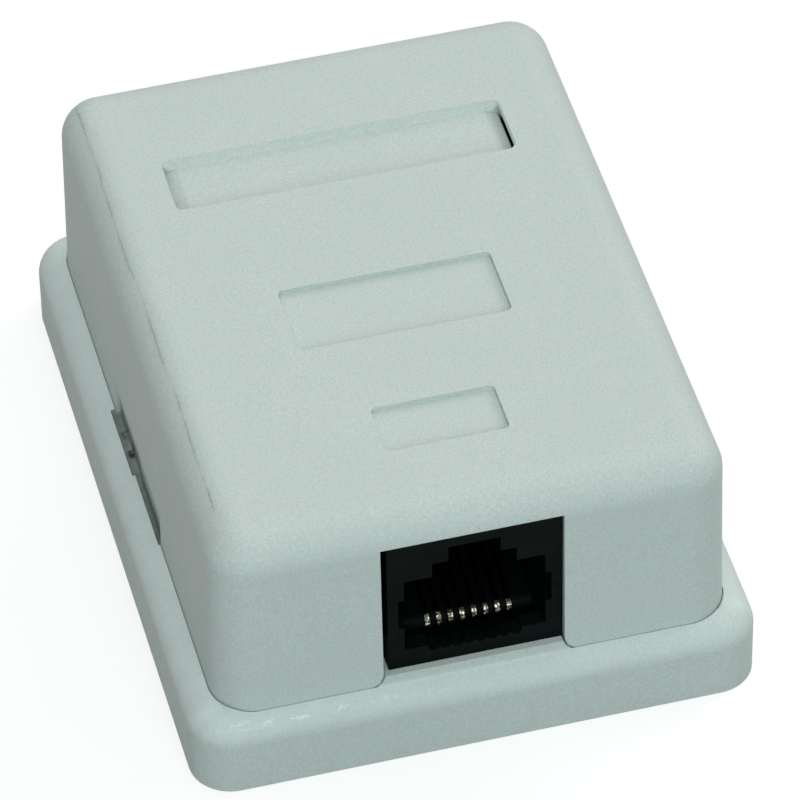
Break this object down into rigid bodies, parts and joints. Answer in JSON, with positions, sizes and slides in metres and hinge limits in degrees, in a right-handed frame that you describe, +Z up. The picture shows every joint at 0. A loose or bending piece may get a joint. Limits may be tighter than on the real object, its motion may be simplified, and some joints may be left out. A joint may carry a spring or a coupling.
{
  "type": "surface mount jack box",
  "caption": "Small white wall box with a modular jack in its front, a rounded base tray, a pull-off cover and wire terminal blocks inside.",
  "frame": {"origin": "centre of the base's underside", "axes": "+X across the box, -Y out of the jack's face, +Z up from the wall or desk it is fixed to"},
  "size_m": [0.0494, 0.0644, 0.026],
  "materials": {
    "shell_plastic": "fine satin grain, cool white",
    "jack_plastic": "smooth black",
    "board_laminate": "green solder resist over glass laminate",
    "contact_gold": "gold plated spring wire",
    "block_plastic": "natural white moulding",
    "fork_metal": "tin plated bronze",
    "screw_steel": "zinc plated"
  },
  "bodies": {
    "base_body": {"base": "shell_plastic", "circuit_board": "board_laminate", "jack_housing": "jack_plastic", "contact_carrier": "jack_plastic", "board_screw_left": "screw_steel", "board_screw_right": "screw_steel", "spring_contact_1": "contact_gold", "spring_contact_2": "contact_gold", "spring_contact_3": "contact_gold", "spring_contact_4": "contact_gold", "spring_contact_5": "contact_gold", "spring_contact_6": "contact_gold", "spring_contact_7": "contact_gold", "spring_contact_8": "contact_gold", "wire_block_left": "block_plastic", "wire_block_right": "block_plastic", "wire_fork_left_1": "fork_metal", "wire_fork_left_2": "fork_metal", "wire_fork_left_3": "fork_metal", "wire_fork_left_4": "fork_metal", "wire_fork_right_1": "fork_metal", "wire_fork_right_2": "fork_metal", "wire_fork_right_3": "fork_metal", "wire_fork_right_4": "fork_metal"},
    "cover_body": {"cover": "shell_plastic"}
  },
  "joints": [
    {"name": "cover_lift", "type": "slide", "parent": "base_body", "child": "cover_body", "axis": [0, 0, 1], "range_m": [0, 0.03]}
  ]
}
